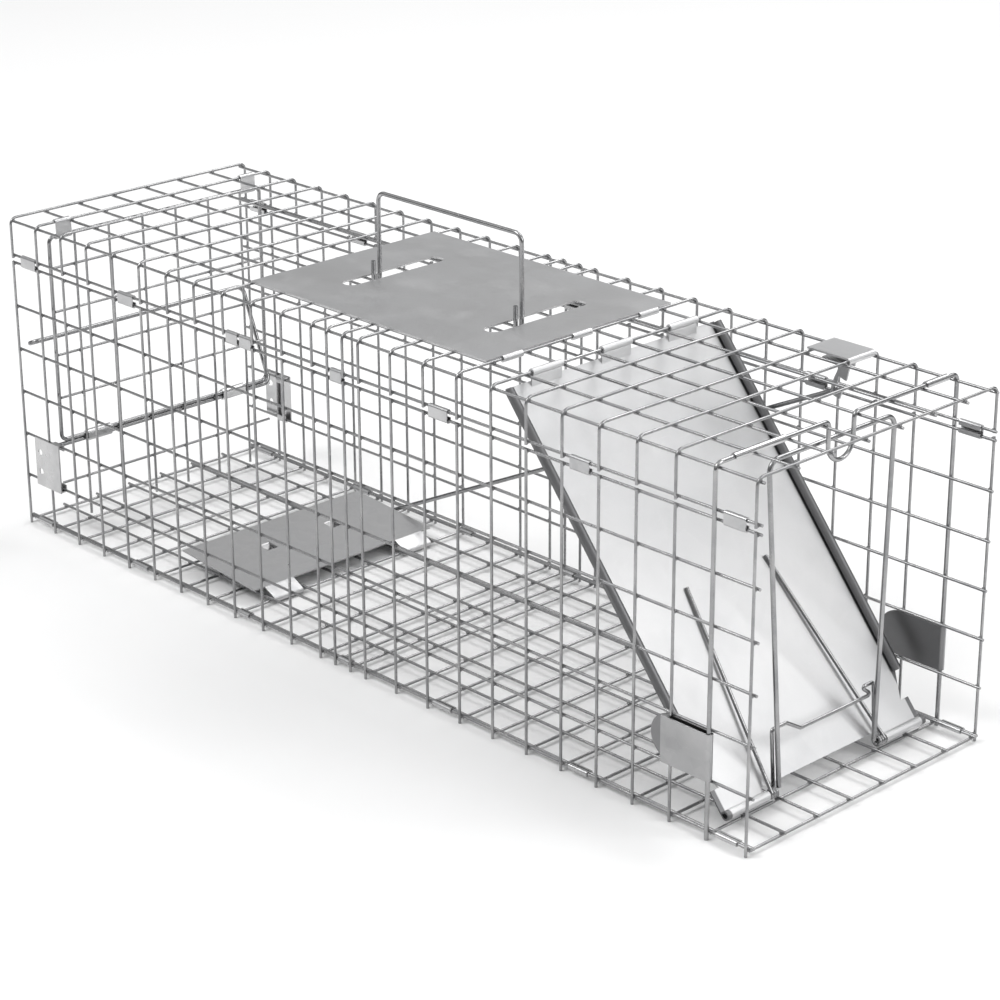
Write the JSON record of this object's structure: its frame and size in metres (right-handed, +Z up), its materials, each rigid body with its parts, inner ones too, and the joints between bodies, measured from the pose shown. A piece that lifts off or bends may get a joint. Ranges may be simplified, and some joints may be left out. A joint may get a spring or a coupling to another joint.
{
  "type": "live catch trap",
  "caption": "Long welded-wire live catch trap with a drop door, floor trigger pan and rod, latch, lock bar, rear door and folding carry handle.",
  "frame": {"origin": "middle of the footprint, on the ground plane under the upright wires' ends", "axes": "+X along the length towards the drop door, +Y to the latch side, +Z up"},
  "size_m": [0.6018, 0.1852, 0.2479],
  "materials": {
    "mesh_wire": "galvanised wire",
    "thick_wire": "galvanised wire",
    "sheet_steel": "galvanised sheet",
    "clip_steel": "galvanised strip"
  },
  "bodies": {
    "cage": {"roof_panel": "mesh_wire", "near_side_panel": "mesh_wire", "far_side_panel": "mesh_wire", "floor_panel": "mesh_wire", "near_seam_clips": "clip_steel", "far_seam_clips": "clip_steel", "near_floor_clips": "clip_steel", "far_floor_clips": "clip_steel", "handle_guard_plate": "sheet_steel", "front_frame": "thick_wire", "front_frame_sleeves": "clip_steel", "near_lock_tab": "sheet_steel", "far_lock_tab": "sheet_steel", "near_rear_plate": "sheet_steel", "far_rear_plate": "sheet_steel", "latch_bracket": "clip_steel", "latch_pin": "clip_steel"},
    "drop_door": {"drop_door": "sheet_steel", "door_spring": "thick_wire"},
    "lock_bar": {"lock_bar": "thick_wire"},
    "trigger_pan": {"trigger_pan": "sheet_steel"},
    "trigger_rod": {"trigger_rod": "thick_wire"},
    "latch_hook": {"latch_hook": "clip_steel"},
    "carry_handle": {"carry_handle": "thick_wire"},
    "rear_door": {"rear_door_frame": "thick_wire", "rear_door_mesh": "mesh_wire", "rear_hinge_sleeves": "clip_steel", "rear_bail_sleeves": "clip_steel"},
    "rear_bail": {"rear_bail": "thick_wire"}
  },
  "joints": [
    {"name": "door_swing", "type": "hinge", "parent": "cage", "child": "drop_door", "pos_m": [0.12065, 0, 0.19712], "axis": [0, -1, 0], "range_deg": [0, 40]},
    {"name": "lock_bar_swing", "type": "hinge", "parent": "cage", "child": "lock_bar", "pos_m": [0.26845, 0, 0.18552], "axis": [0, -1, 0], "range_deg": [0, 80]},
    {"name": "pan_tilt", "type": "hinge", "parent": "cage", "child": "trigger_pan", "pos_m": [-0.09525, 0, 0.0025], "axis": [0, 1, 0], "range_deg": [0, 9]},
    {"name": "rod_turn", "type": "hinge", "parent": "trigger_pan", "child": "trigger_rod", "pos_m": [-0.14351, 0, 0.00662], "axis": [0, 1, 0], "range_deg": [-7.61, 0]},
    {"name": "hook_swing", "type": "hinge", "parent": "cage", "child": "latch_hook", "pos_m": [0.20955, 0.08113, 0.19192], "axis": [0, -1, 0], "range_deg": [0, 15.65]},
    {"name": "handle_swing", "type": "hinge", "parent": "cage", "child": "carry_handle", "pos_m": [0, -0.0127, 0.1955], "axis": [1, 0, 0], "range_deg": [-68, 68]},
    {"name": "rear_door_swing", "type": "hinge", "parent": "cage", "child": "rear_door", "pos_m": [-0.27305, 0, 0.19712], "axis": [0, 1, 0], "range_deg": [0, 55]},
    {"name": "rear_bail_swing", "type": "hinge", "parent": "rear_door", "child": "rear_bail", "pos_m": [-0.27343, 0, 0.05632], "axis": [0, -1, 0], "range_deg": [0, 60]}
  ],
  "couplings": [
    {"joint": "lock_bar_swing", "follows": "door_swing", "ratio": 2},
    {"joint": "rod_turn", "follows": "pan_tilt", "ratio": -0.8449},
    {"joint": "hook_swing", "follows": "pan_tilt", "ratio": 1.7389}
  ]
}
